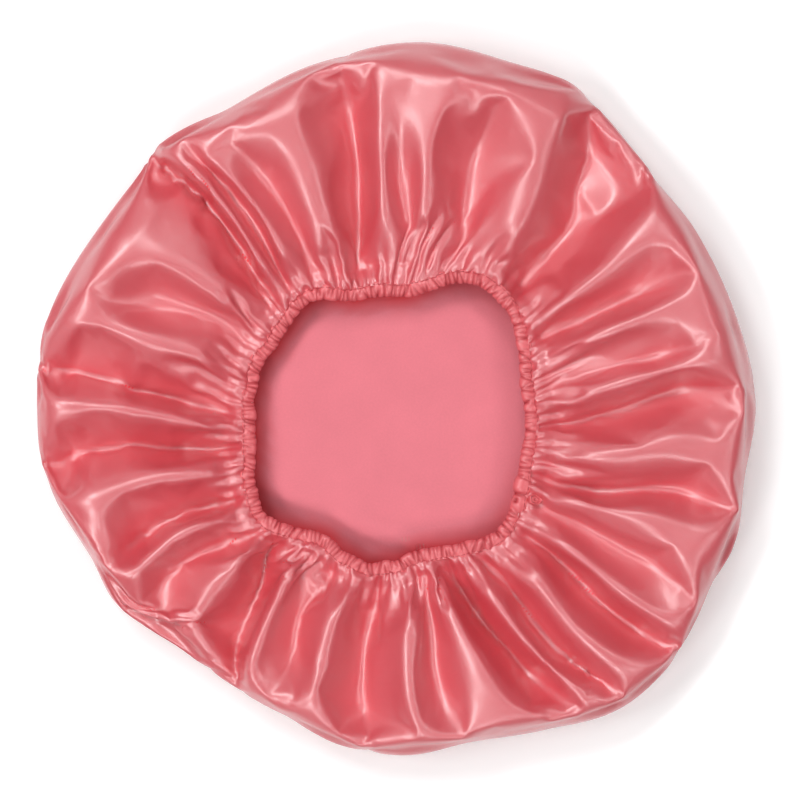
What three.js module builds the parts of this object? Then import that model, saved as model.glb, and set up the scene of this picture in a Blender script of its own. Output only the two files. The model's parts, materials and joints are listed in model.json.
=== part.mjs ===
// A satin hair bonnet that lies on its crown with its gathered mouth up.
// One circle of satin is gathered into a casing, a folded strip that holds a loop of flat elastic.
// Sizes are millimetres and degrees. +Z is up, and angles run from +X towards +Y.
import * as THREE from 'three';

// Satin
const SATIN = 0.3; // thickness of one ply
const FOLD_RADIUS = 176; // mean radius of the outline, where the crown folds up into the top
const FOLD_HEIGHT = 15; // height of the outline above the table
const CROWN_ROUND = 28; // how far inside the outline the crown starts to leave the table
const CREST_INSET = 24; // how far inside the outline the gathered top is highest
const LOBE_REACH = 10; // how far a full lobe stands out of the outline
const FOLD_FALL = 20; // depth of a full valley below the ridges beside it
const FOLD_FULLNESS = 0.14; // how high a ridge puffs up for the width of its fold
const CREST_HEIGHT = 31; // mean height of the gathered top where it is highest
const HAIR_HEIGHT = 18.4; // no valley goes lower, so that the hair has room under it
const CROWN_EDGE = 36; // the crown's share of the quarter turn up to the outline
const TOP_EDGE = 42; // where the gathered top starts on the quarter turn above the outline

// Mouth and casing
const MOUTH_X = -4; // the mouth's centre is off the bonnet's own centre
const MOUTH_Y = -12;
const MOUTH_RADIUS = 69; // mean radius of the mouth's inner edge
const BEND_REACH = 10; // how far a full bend moves the mouth's edge
const MOUTH_HEIGHT = 22; // mean height of the casing's folded edge above the table
const CASING_WIDTH = 7.2;
const CASING_PLY = 0.6; // the strip's raw edges are turned in, so each side is two plies of satin
const CASING_TILT = 14; // the casing's open edge stands higher than its folded edge
const RUFFLES = 68; // cross pleats around the casing
const RUFFLE_HEIGHT = 0.6;
const SEAM_FLAT = 4; // how far outside the casing the folds are still pressed flat
const SEAM_SAG = 1.6; // how far the satin hangs down over that stretch
const SEAM_INSET = 1; // how far the gathered top reaches into the casing
const SEAM_LIFT = 0.35; // how far above the casing's middle plane it goes in

// Elastic and thread
const ELASTIC_THICKNESS = 0.8;
const ELASTIC_LAP = 14; // length over which the elastic's two ends lie on each other
const LAP_RAMP = 26; // length over which an end climbs onto the lap
const JOIN_ANGLE = 329; // where the elastic's ends meet
const THREAD = 0.4; // diameter of the sewing thread
const TACK_STEPS = 5; // strokes of the zigzag that joins the elastic's ends
const CLEARANCE = 0.3; // gap between neighbouring pieces

// Facets
const RINGS_PER_TURN = 3; // rows of facets on each rounded stretch of the satin
const COLUMNS_PER_FOLD = 4;
const THREAD_SIDES = 4;
const ELASTIC_SECTIONS = 110;

// Lobes and notches of the outline: angle, and how far it stands out from FOLD_RADIUS, in LOBE_REACHes.
const OUTLINE_LOBES = [
  [0, 0.4], [14, -0.1], [30, -0.5], [42, -0.8], [60, 0.4], [72, 0.2], [86, 0.4], [104, -0.2],
  [120, -0.7], [131, -0.3], [139, -0.5], [150, -0.4], [170, 0.5], [181, 0.2], [192, 0.5], [207, -0.4],
  [216, -0.2], [230, -1.3], [250, -0.9], [260, 0], [271, 0.3], [282, 0.1], [294, 0.6], [306, 1.5],
  [318, 1.3], [330, 0.6], [336, 0.8], [348, 0.3],
];

// Bends of the mouth's edge: angle round the mouth's centre, and how far it lies out, in BEND_REACHes.
const MOUTH_BENDS = [
  [0, -0.1], [20, 0], [38, 1], [57, 1.3], [70, 0.4], [80, -0.5], [95, -0.5], [108, -0.5], [121, 0.3],
  [133, 0.2], [143, -0.1], [155, 0.1], [180, -0.2], [194, 0], [206, 0.5], [215, 0.8], [223, 0.4],
  [241, -0.5], [252, -0.1], [262, 0.2], [270, 0], [282, -0.4], [297, -0.1], [309, 0.5], [318, 0.7],
  [332, 0.2], [342, -0.1],
];

// Valleys of the gathered top: the angle at the mouth, halfway and at the outline, the depth in FOLD_FALLs,
// the share of the way from mouth to outline at which it has run out, and how blunt its bottom is.
const VALLEYS = [
  [0, 2, 3, 0.75, 0.9, 2.5], [12.5, 11.5, 13, 0.55, 0.82, 2], [29, 26.5, 24, 0.75, 0.84, 3],
  [47, 48.5, 54.5, 1, 1.05, 4], [67, 71, 71.5, 0.8, 0.82, 2.5], [86, 87, 87, 0.3, 0.7, 4],
  [102, 99.5, 99, 0.85, 0.95, 2], [117, 119.5, 122, 0.45, 0.8, 2], [126, 128, 128.5, 0.45, 0.88, 1.5],
  [132.5, 132.5, 134, 1.05, 1.1, 0.6], [150, 156, 161, 0.45, 0.8, 4], [175, 176.5, 172.5, 1, 1.08, 0.8],
  [188, 188.7, 190, 1, 1.08, 0.8], [206.5, 207, 207.5, 0.9, 0.88, 1], [219.5, 217, 217, 0.7, 0.95, 2],
  [225, 232.5, 242, 0.95, 1.02, 1.5], [249, 246.5, 247, 0.65, 0.88, 3], [264, 264.5, 264, 0.85, 0.98, 2],
  [281, 279.5, 281, 0.6, 0.9, 2.5], [289, 297, 299, 0.95, 0.88, 4], [304, 305, 306.5, 0.75, 0.95, 1],
  [319.5, 317.5, 318, 0.85, 1, 1.5], [330, 328, 327, 0.6, 0.9, 3], [339, 341.5, 342.5, 0.75, 0.98, 2],
];

const radians = THREE.MathUtils.degToRad;
const smoothstep = THREE.MathUtils.smoothstep;
const lerp = THREE.MathUtils.lerp;

// A smooth closed function of the angle through pairs of an angle and a value, times one unit.
function aroundTheTurn(pairs, unit) {
  const count = pairs.length;
  const knot = (index) => {
    const turn = Math.floor(index / count);
    const [angle, value] = pairs[index - turn * count];
    return [angle + 360 * turn, value * unit];
  };
  const slope = (index) => {
    const [angleBefore, valueBefore] = knot(index - 1);
    const [angleAfter, valueAfter] = knot(index + 1);
    return (valueAfter - valueBefore) / (angleAfter - angleBefore);
  };
  return (angle) => {
    const turned = THREE.MathUtils.euclideanModulo(angle, 360);
    let index = -1;
    while (knot(index + 1)[0] <= turned) index += 1;
    const [startAngle, startValue] = knot(index);
    const [endAngle, endValue] = knot(index + 1);
    const span = endAngle - startAngle;
    const t = (turned - startAngle) / span;
    const bend = t * t * (3 - 2 * t);
    const leave = t * (1 - t) * (1 - t) * span * slope(index);
    const arrive = t * t * (t - 1) * span * slope(index + 1);
    return startValue + (endValue - startValue) * bend + leave + arrive;
  };
}

const outlineLobe = aroundTheTurn(OUTLINE_LOBES, LOBE_REACH);
const mouthBend = aroundTheTurn(MOUTH_BENDS, BEND_REACH);

// Joins a row of sections, each the same number of points round a closed outline, into one closed solid.
// A four-sided patch is cut from its first corner, or from its second one where turned says so.
function loft(sections, closed, turned = () => false) {
  const points = sections[0].length;
  const vertices = sections.flat();
  const triangles = [];
  const addTriangle = (a, b, c) => {
    const corners = [vertices[a], vertices[b], vertices[c]];
    const flat = corners.some((corner, i) => corner.distanceTo(corners[(i + 1) % 3]) < 1e-6);
    if (!flat) triangles.push(a, b, c);
  };
  const spans = closed ? sections.length : sections.length - 1;
  for (let i = 0; i < spans; i += 1) {
    const here = i * points;
    const next = ((i + 1) % sections.length) * points;
    for (let k = 0; k < points; k += 1) {
      const beside = (k + 1) % points;
      if (turned(k)) {
        addTriangle(here + k, next + k, here + beside);
        addTriangle(next + k, next + beside, here + beside);
      } else {
        addTriangle(here + k, next + k, next + beside);
        addTriangle(here + k, next + beside, here + beside);
      }
    }
  }
  if (!closed) {
    const last = (sections.length - 1) * points;
    for (let k = 1; k < points - 1; k += 1) {
      addTriangle(0, k, k + 1);
      addTriangle(last, last + k + 1, last + k);
    }
  }
  const geometry = new THREE.BufferGeometry().setFromPoints(vertices);
  geometry.setIndex(triangles);
  geometry.computeVertexNormals();
  return geometry;
}

// The satin's outside face as a grid of columns round the turn becomes a ply of the satin's thickness.
// Both faces have their patches cut the same way, so that the ply stays as thick across a bent patch.
function ply(columns) {
  const rows = columns[0].length;
  const at = (i, j) => {
    const column = columns[(i + columns.length) % columns.length];
    return column[THREE.MathUtils.clamp(j, 0, rows - 1)];
  };
  const inside = (i, j) => {
    const along = at(i, j + 1).clone().sub(at(i, j - 1));
    const row = at(i + 1, j).distanceTo(at(i - 1, j)) > 1e-6 ? j : j + 1;
    const round = at(i + 1, row).clone().sub(at(i - 1, row));
    return at(i, j).clone().addScaledVector(along.cross(round).normalize(), SATIN);
  };
  const sections = columns.map((column, i) => {
    const lining = column.map((_, j) => inside(i, j));
    return [...column, ...lining.reverse()];
  });
  return loft(sections, true, (k) => k >= rows);
}

// The satin's columns: each fold has one in its valley, one on its ridge, and one on each side between.
const foldColumns = VALLEYS.flatMap((valley, index) => {
  const last = index + 1 === VALLEYS.length;
  const following = VALLEYS[last ? 0 : index + 1];
  const turn = last ? 360 : 0;
  return Array.from({ length: COLUMNS_PER_FOLD }, (_, k) => {
    const share = k / COLUMNS_PER_FOLD;
    const [, , , fullDepth, end, bluntness] = share < 0.5 ? valley : following;
    const ridge = Math.sin(Math.PI * share) ** (0.7 + 0.3 * bluntness);
    const depth = fullDepth * (1 - ridge);
    return { valley, following, turn, share, depth, end };
  });
});

// The angle of a valley at a share of the way from mouth to outline.
function valleyAngle([mouth, halfway, outline], share) {
  return share < 0.5 ? lerp(mouth, halfway, share * 2) : lerp(halfway, outline, share * 2 - 1);
}

// The angle of a column at a share of the way from mouth to outline.
function columnAngle({ valley, following, turn, share: place }, share) {
  return lerp(valleyAngle(valley, share), valleyAngle(following, share) + turn, place);
}

// How far a column stands over the mean top, at a share of the way from mouth to outline.
function foldHeight({ valley, following, turn, depth, end }, share) {
  const span = valleyAngle(following, share) + turn - valleyAngle(valley, share);
  const radius = lerp(MOUTH_RADIUS + CASING_WIDTH, FOLD_RADIUS, share);
  const running = 1 - smoothstep(share, end - 0.25, end + 0.15);
  return FOLD_FULLNESS * radians(span) * radius - FOLD_FALL * depth * running;
}

// A point that lies inset from the outline on the line towards the bonnet's centre.
function insideOutline(angle, inset, height) {
  const reach = FOLD_RADIUS + outlineLobe(angle) - inset;
  return new THREE.Vector3(reach * Math.cos(radians(angle)), reach * Math.sin(radians(angle)), height);
}

// The rounded edge below the outline, from 0 on the table to 90 at the outline.
function belowOutline(angle, turn) {
  const inset = CROWN_ROUND * (1 - Math.sin(radians(turn)));
  return insideOutline(angle, inset, FOLD_HEIGHT * (1 - Math.cos(radians(turn))));
}

// The share of the way from mouth to outline that lies inset from the outline.
function shareAt(inset) {
  return 1 - inset / (FOLD_RADIUS - MOUTH_RADIUS - CASING_WIDTH);
}

// The rounded edge above the outline, from 0 at the outline to 90 at the crest, with the folds fading in.
function aboveOutline(column, turn) {
  const inset = CREST_INSET * (1 - Math.cos(radians(turn)));
  const mean = FOLD_HEIGHT + (CREST_HEIGHT - FOLD_HEIGHT) * Math.sin(radians(turn));
  const fold = smoothstep(turn, 0, 90) * foldHeight(column, shareAt(inset));
  const lowest = lerp(FOLD_HEIGHT, HAIR_HEIGHT, turn / 90);
  return insideOutline(columnAngle(column, shareAt(inset)), inset, Math.max(mean + fold, lowest));
}

// Turns that stop half a clearance short of an edge, so that neighbouring plies don't overlap.
const belowGap = THREE.MathUtils.radToDeg(CLEARANCE / 2 / FOLD_HEIGHT);
const aboveGap = THREE.MathUtils.radToDeg(CLEARANCE / 2 / (CREST_HEIGHT - FOLD_HEIGHT));

// Evenly spaced turns from one edge of a rounded stretch to the other.
function turns(from, to) {
  return Array.from({ length: RINGS_PER_TURN }, (_, k) => from + ((to - from) * k) / (RINGS_PER_TURN - 1));
}

// The crown: a flat round on the table with a rim that starts to turn up.
function crownGeometry() {
  const rim = turns(0, CROWN_EDGE - belowGap);
  const columns = foldColumns.map((column) => {
    const edge = rim.map((turn) => belowOutline(columnAngle(column, 1), turn));
    return [new THREE.Vector3(), ...edge];
  });
  return ply(columns);
}

// The side band: the stretch of satin that folds over at the outline.
function sideBandGeometry() {
  const below = turns(CROWN_EDGE + belowGap, 90);
  const above = turns(0, TOP_EDGE - aboveGap).slice(1);
  const columns = foldColumns.map((column) => [
    ...below.map((turn) => belowOutline(columnAngle(column, 1), turn)),
    ...above.map((turn) => aboveOutline(column, turn)),
  ]);
  return ply(columns);
}

// A point in the mouth's plan, out from the mouth's inner edge.
function mouthPlan(angle, out) {
  const reach = MOUTH_RADIUS + mouthBend(angle) + out;
  const x = MOUTH_X + reach * Math.cos(radians(angle));
  const y = MOUTH_Y + reach * Math.sin(radians(angle));
  return new THREE.Vector3(x, y, MOUTH_HEIGHT);
}

// A point of the casing: across its width from the folded edge, and up from its middle plane.
function casingPoint(angle, across, up) {
  const step = 0.5;
  const along = mouthPlan(angle + step, 0).sub(mouthPlan(angle - step, 0)).normalize();
  const outward = new THREE.Vector3(along.y, -along.x, 0);
  const tilt = radians(CASING_TILT);
  const width = outward.clone().multiplyScalar(Math.cos(tilt)).setZ(Math.sin(tilt));
  const normal = outward.clone().multiplyScalar(-Math.sin(tilt)).setZ(Math.cos(tilt));
  return mouthPlan(angle, 0).addScaledVector(width, across).addScaledVector(normal, up);
}

const mouthDegreesPerMillimetre = 180 / (Math.PI * MOUTH_RADIUS);

// The gathered top: from the side band over the crest, then down in folds to the seam in the casing.
function gatheredTopGeometry() {
  const descending = [[0.5, 1], [0.22, 0.75]]; // share of the way from the mouth, and how full folds are
  const nearSeamFold = 0.03;
  const columns = foldColumns.map((column) => {
    const slope = descending.map(([share, folded]) => {
      const angle = columnAngle(column, share);
      const crest = insideOutline(angle, CREST_INSET, CREST_HEIGHT);
      const point = casingPoint(angle, CASING_WIDTH, 0).lerp(crest, share / shareAt(CREST_INSET));
      point.z = Math.max(point.z + folded * foldHeight(column, share), HAIR_HEIGHT);
      return point;
    });
    const mouthAngle = columnAngle(column, 0);
    const nearSeam = nearSeamFold * foldHeight(column, 0) - SEAM_SAG;
    return [
      aboveOutline(column, TOP_EDGE + aboveGap),
      aboveOutline(column, 90),
      ...slope,
      casingPoint(mouthAngle, CASING_WIDTH + SEAM_FLAT, nearSeam),
      casingPoint(mouthAngle, CASING_WIDTH - SEAM_INSET, SEAM_LIFT),
    ];
  });
  return ply(columns);
}

// How near an angle is to the elastic's join: 1 on the lap, and 0 where the elastic is single again.
function nearJoin(angle) {
  const away = Math.abs(THREE.MathUtils.euclideanModulo(angle - JOIN_ANGLE + 180, 360) - 180);
  const distance = away / mouthDegreesPerMillimetre;
  return 1 - smoothstep(distance, ELASTIC_LAP / 2, ELASTIC_LAP / 2 + LAP_RAMP);
}

const lapLift = (ELASTIC_THICKNESS + CLEARANCE) / 2; // how far each end leaves the middle plane on the lap
const tackRoom = CLEARANCE + THREAD; // room above the lap for the thread that joins it
const casingColumns = RUFFLES * 2;
const casingAngles = Array.from({ length: casingColumns }, (_, i) => (360 * i) / casingColumns);

// Half the height of the slot that the elastic lies in.
function slotHalfHeight(angle) {
  return ELASTIC_THICKNESS / 2 + CLEARANCE + nearJoin(angle) * (lapLift + tackRoom);
}

// How far a cross pleat stands out of the casing. Every second column is a pleat, and the join is smooth.
function ruffle(column) {
  return (column % 2) * RUFFLE_HEIGHT * (1 - nearJoin(casingAngles[column]));
}

// The casing: a strip folded over the elastic, open where the gathered top goes in.
function casingGeometry() {
  const sections = casingAngles.map((angle, column) => {
    const slot = slotHalfHeight(angle);
    const face = slot + CASING_PLY + ruffle(column);
    const outline = [
      [CASING_WIDTH, face],
      [CASING_PLY, face],
      [-ruffle(column) / 2, 0],
      [CASING_PLY, -face],
      [CASING_WIDTH, -face],
      [CASING_WIDTH, -slot],
      [CASING_PLY * 2, -slot],
      [CASING_PLY * 2, slot],
      [CASING_WIDTH, slot],
    ];
    return outline.map(([across, up]) => casingPoint(angle, across, up));
  });
  return loft(sections, true);
}

const elasticStart = CASING_PLY * 2 + CLEARANCE; // the elastic's inner edge, from the casing's folded edge
const elasticEnd = CASING_WIDTH - SEAM_INSET - CLEARANCE * 3; // its outer edge, clear of the gathered top
const elasticMiddle = (elasticStart + elasticEnd) / 2;

// The elastic: a flat band that goes once round and ends on top of its own start.
function elasticGeometry() {
  const overlap = ELASTIC_LAP * mouthDegreesPerMillimetre;
  const ramp = LAP_RAMP * mouthDegreesPerMillimetre;
  const sections = Array.from({ length: ELASTIC_SECTIONS }, (_, i) => {
    const travelled = ((360 + overlap) * i) / (ELASTIC_SECTIONS - 1);
    const angle = JOIN_ANGLE - overlap / 2 + travelled;
    const sunk = 1 - smoothstep(travelled, overlap, overlap + ramp);
    const raised = smoothstep(travelled, 360 - ramp, 360);
    const middle = lapLift * (raised - sunk);
    const outline = [
      [elasticEnd, middle + ELASTIC_THICKNESS / 2],
      [elasticStart, middle + ELASTIC_THICKNESS / 2],
      [elasticStart, middle - ELASTIC_THICKNESS / 2],
      [elasticEnd, middle - ELASTIC_THICKNESS / 2],
    ];
    return outline.map(([across, up]) => casingPoint(angle, across, up));
  });
  return loft(sections, false);
}

// The zigzag tack: the thread that joins the elastic's two ends, on top of the lap.
function elasticTackGeometry() {
  const height = lapLift + ELASTIC_THICKNESS / 2 + CLEARANCE + THREAD / 2;
  const strokes = Array.from({ length: TACK_STEPS + 1 }, (_, k) => {
    const angle = JOIN_ANGLE + (k / TACK_STEPS - 0.5) * ELASTIC_LAP * 0.7 * mouthDegreesPerMillimetre;
    const across = elasticMiddle + (k % 2 ? 0.35 : -0.35) * (elasticEnd - elasticStart);
    return casingPoint(angle, across, height);
  });
  const path = new THREE.CurvePath();
  strokes.slice(1).forEach((end, k) => path.add(new THREE.LineCurve3(strokes[k], end)));
  const section = new THREE.Shape().absarc(0, 0, THREAD / 2, 0, Math.PI * 2);
  const options = { steps: TACK_STEPS * 4, curveSegments: 3, extrudePath: path, bevelEnabled: false };
  return new THREE.ExtrudeGeometry(section, options);
}

// One thread of the lockstitch seam, which runs round the casing's upper or lower face near its open edge.
function seamThreadGeometry(side) {
  const sections = casingAngles.map((angle, column) => {
    const face = slotHalfHeight(angle) + CASING_PLY + ruffle(column);
    const height = side * (face + CLEARANCE + THREAD / 2);
    return Array.from({ length: THREAD_SIDES }, (_, k) => {
      const turn = radians((360 * (k + 0.5)) / THREAD_SIDES);
      const across = CASING_WIDTH - SEAM_INSET / 2 + (THREAD / 2) * Math.cos(turn);
      return casingPoint(angle, across, height + (THREAD / 2) * Math.sin(turn));
    });
  });
  return loft(sections, true);
}

const satin = new THREE.MeshStandardMaterial({ color: 0xd9646c, roughness: 0.32, metalness: 0 });
const elasticWeb = new THREE.MeshStandardMaterial({ color: 0xe8b9ba, roughness: 0.8, metalness: 0 });
const thread = new THREE.MeshStandardMaterial({ color: 0xc9545e, roughness: 0.6, metalness: 0 });

function piece(name, geometry, material) {
  const mesh = new THREE.Mesh(geometry, material);
  mesh.name = name;
  return mesh;
}

const bonnet = new THREE.Group();
const mouth = new THREE.Group();
mouth.add(
  piece('gathered_top', gatheredTopGeometry(), satin),
  piece('casing', casingGeometry(), satin),
  piece('elastic_band', elasticGeometry(), elasticWeb),
  piece('elastic_tack', elasticTackGeometry(), thread),
  piece('needle_thread', seamThreadGeometry(1), thread),
  piece('bobbin_thread', seamThreadGeometry(-1), thread),
);
bonnet.add(piece('crown', crownGeometry(), satin), piece('side_band', sideBandGeometry(), satin), mouth);

export default bonnet;
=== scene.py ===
"""A satin hair bonnet that lies on its crown, gathered round its open mouth.

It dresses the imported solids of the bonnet's part.
"""

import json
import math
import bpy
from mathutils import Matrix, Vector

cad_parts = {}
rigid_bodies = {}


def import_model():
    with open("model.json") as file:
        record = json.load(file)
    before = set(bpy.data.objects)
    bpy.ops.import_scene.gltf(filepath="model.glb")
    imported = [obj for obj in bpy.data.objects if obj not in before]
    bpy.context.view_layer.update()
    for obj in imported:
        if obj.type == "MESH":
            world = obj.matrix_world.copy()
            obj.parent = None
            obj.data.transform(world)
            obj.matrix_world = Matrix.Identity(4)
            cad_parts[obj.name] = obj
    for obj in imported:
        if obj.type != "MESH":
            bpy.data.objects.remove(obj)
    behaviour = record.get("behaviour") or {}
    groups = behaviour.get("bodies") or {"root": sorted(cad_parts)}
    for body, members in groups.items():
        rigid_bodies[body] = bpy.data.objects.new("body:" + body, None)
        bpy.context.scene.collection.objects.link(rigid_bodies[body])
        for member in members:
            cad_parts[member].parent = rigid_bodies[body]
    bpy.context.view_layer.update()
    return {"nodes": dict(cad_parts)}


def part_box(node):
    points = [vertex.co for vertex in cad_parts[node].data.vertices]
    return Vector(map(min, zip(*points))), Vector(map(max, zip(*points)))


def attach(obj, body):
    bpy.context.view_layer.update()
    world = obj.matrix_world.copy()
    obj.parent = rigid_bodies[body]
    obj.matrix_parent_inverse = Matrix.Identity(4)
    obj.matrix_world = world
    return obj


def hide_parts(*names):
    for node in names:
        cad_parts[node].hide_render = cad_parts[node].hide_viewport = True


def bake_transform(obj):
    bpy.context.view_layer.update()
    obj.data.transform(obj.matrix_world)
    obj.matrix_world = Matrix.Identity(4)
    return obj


bl_info = {
    "name": "Satin Hair Bonnet",
    "version": (1, 0, 0),
    "blender": (4, 5, 0),
    "location": "View3D > Sidebar > Bonnet",
    "description": "Makes a gathered satin bonnet with its casing, stitches and studio",
    "category": "Object",
}

import bpy
import numpy as np
from bpy.props import FloatProperty, FloatVectorProperty, IntProperty, PointerProperty
from mathutils import Vector

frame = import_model()
MM = 0.001

# The laid outline: an angle in degrees, and the reach from the middle in millimetres.
OUTLINE = (
    (0, 180), (14, 175), (30, 171), (42, 168), (60, 180), (72, 178.5), (86, 180), (104, 174),
    (120, 169), (131, 173), (139, 170.5), (150, 172), (170, 180.5), (181, 178), (192, 180.5),
    (207, 172), (216, 173.5), (230, 163), (250, 167), (260, 175.5), (271, 179), (282, 176.5),
    (294, 182), (306, 191), (318, 189), (330, 182.5), (336, 184), (348, 179),
)

# The valleys between the folds: angle at the mouth, halfway and at the outline, depth against the deepest,
# the share of the way to the outline where it ends, and how blunt its bottom is.
VALLEYS = (
    (0, 2, 3, 0.75, 0.9, 2.5), (12.5, 11.5, 13, 0.55, 0.82, 2.0),
    (29, 26.5, 24, 0.75, 0.84, 3.0), (47, 48.5, 54.5, 1.0, 1.05, 4.0),
    (67, 71, 71.5, 0.8, 0.82, 2.5), (86, 87, 87, 0.3, 0.7, 4.0),
    (102, 99.5, 99, 0.85, 0.95, 2.0), (117, 119.5, 122, 0.45, 0.8, 2.0),
    (126, 128, 128.5, 0.45, 0.88, 1.5), (132.5, 132.5, 134, 1.05, 1.1, 0.6),
    (150, 156, 161, 0.45, 0.8, 4.0), (175, 176.5, 172.5, 1.0, 1.08, 0.8),
    (188, 188.7, 190, 1.0, 1.08, 0.8), (206.5, 207, 207.5, 0.9, 0.88, 1.0),
    (219.5, 217, 217, 0.7, 0.95, 2.0), (225, 232.5, 242, 0.95, 1.02, 1.5),
    (249, 246.5, 247, 0.65, 0.88, 3.0), (264, 264.5, 264, 0.85, 0.98, 2.0),
    (281, 279.5, 281, 0.6, 0.9, 2.5), (289, 297, 299, 0.95, 0.88, 4.0),
    (304, 305, 306.5, 0.75, 0.95, 1.0), (319.5, 317.5, 318, 0.85, 1.0, 1.5),
    (330, 328, 327, 0.6, 0.9, 3.0), (339, 341.5, 342.5, 0.75, 0.98, 2.0),
)

# How many stretches the elastic's middle line is averaged over, and the angles to walk round it.
ELASTIC_STRETCHES = 60
RIM_ANGLES = np.arange(0, 360, 2.0)


def smoothstep(low, high, value):
    """A soft step from 0 at low to 1 at high."""
    share = np.clip((np.asarray(value, float) - low) / (high - low), 0, 1)
    return share * share * (3 - 2 * share)


def round_the_turn(knots, angles):
    """A smooth closed curve through (angle, value) knots, read at the angles."""
    at = np.array([knot[0] for knot in knots], float)
    value = np.array([knot[1] for knot in knots], float)
    at = np.concatenate([at[-2:] - 360, at, at[:2] + 360])
    value = np.concatenate([value[-2:], value, value[:2]])
    slope = np.zeros_like(value)
    slope[1:-1] = (value[2:] - value[:-2]) / (at[2:] - at[:-2])
    angles = np.mod(angles, 360.0)
    i = np.clip(np.searchsorted(at, angles, side="right") - 1, 1, len(at) - 3)
    span = at[i + 1] - at[i]
    t = (angles - at[i]) / span
    return (
        value[i] * (1 + 2 * t) * (1 - t) ** 2
        + value[i + 1] * t * t * (3 - 2 * t)
        + span * slope[i] * t * (1 - t) ** 2
        + span * slope[i + 1] * t * t * (t - 1)
    )


def turn_between(angles, middle):
    """Signed degrees from middle to each angle, the short way round."""
    return np.mod(angles - middle + 180, 360) - 180


def mouth_line(angles):
    """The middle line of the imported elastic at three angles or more: points in metres, and the outward way."""
    low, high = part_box("elastic_band")
    middle = np.array((low + high) / 2)
    points = np.array([vertex.co for vertex in frame["nodes"]["elastic_band"].data.vertices], float)
    bearing = np.mod(np.degrees(np.arctan2(points[:, 1] - middle[1], points[:, 0] - middle[0])), 360)
    reach = np.hypot(points[:, 0] - middle[0], points[:, 1] - middle[1])
    group = (bearing / 360 * ELASTIC_STRETCHES).astype(int)
    found = np.bincount(group, minlength=ELASTIC_STRETCHES)
    held, count = found > 0, np.maximum(found, 1)
    at = (np.bincount(group, bearing, ELASTIC_STRETCHES) / count)[held]
    value = (np.bincount(group, reach, ELASTIC_STRETCHES) / count)[held]
    radius = round_the_turn(list(zip(at, value)), angles)
    height = np.full_like(radius, points[:, 2].mean())
    turn = np.radians(angles)
    line = np.stack([middle[0] + radius * np.cos(turn), middle[1] + radius * np.sin(turn), height], 1)
    along = np.roll(line, -1, 0) - np.roll(line, 1, 0)
    outward = np.stack([along[:, 1], -along[:, 0], np.zeros(len(along))], 1)
    return line, outward / np.linalg.norm(outward, axis=1)[:, None]


def clear_old(shelf, name):
    """Takes away what an earlier run left under this name."""
    old = shelf.get(name)
    if old is not None:
        shelf.remove(old)


def new_piece(name, points, faces):
    """A smooth mesh object in the scene."""
    clear_old(bpy.data.objects, name)
    mesh = bpy.data.meshes.new(name)
    mesh.from_pydata(np.asarray(points).tolist(), [], faces)
    mesh.polygons.foreach_set("use_smooth", np.ones(len(mesh.polygons), bool))
    mesh.update()
    piece = bpy.data.objects.new(name, mesh)
    bpy.context.scene.collection.objects.link(piece)
    return piece


def level_square(name, reach, height):
    """A level square that reaches equally far from the middle to each side."""
    corners = [(x * reach, y * reach, height) for x, y in ((-1, -1), (1, -1), (1, 1), (-1, 1))]
    return new_piece(name, corners, [(0, 1, 2, 3)])


def grid_faces(rings, columns, first=0):
    """Faces of a grid that closes round its columns, from its first point on."""
    faces = []
    for j in range(rings - 1):
        here, above = first + j * columns, first + (j + 1) * columns
        for i in range(columns):
            k = (i + 1) % columns
            faces.append((here + i, here + k, above + k, above + i))
    return faces


def tube_faces(rings, sides, first=0):
    """Faces of a tube from its first point on, with both its ends closed."""
    last = first + (rings - 1) * sides
    ends = [tuple(first + i for i in reversed(range(sides))), tuple(last + i for i in range(sides))]
    return grid_faces(rings, sides, first) + ends


class Tone:
    """A value on its way through a material, which takes part in sums."""

    def __init__(self, finish, socket):
        self.finish = finish
        self.socket = socket

    def worked_out(self, operation, first, second):
        return self.finish.node("ShaderNodeMath", {"operation": operation}, {0: first, 1: second})

    def __add__(self, other):
        return self.worked_out("ADD", self, other)

    __radd__ = __add__

    def __sub__(self, other):
        return self.worked_out("SUBTRACT", self, other)

    def __rsub__(self, other):
        return self.worked_out("SUBTRACT", other, self)

    def __mul__(self, other):
        return self.worked_out("MULTIPLY", self, other)

    __rmul__ = __mul__


# The places of a Mix node's colour sockets, which share their names with its other sockets.
MIX_SHARE, MIX_FIRST, MIX_SECOND, MIX_RESULT = 0, 6, 7, 2


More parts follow.
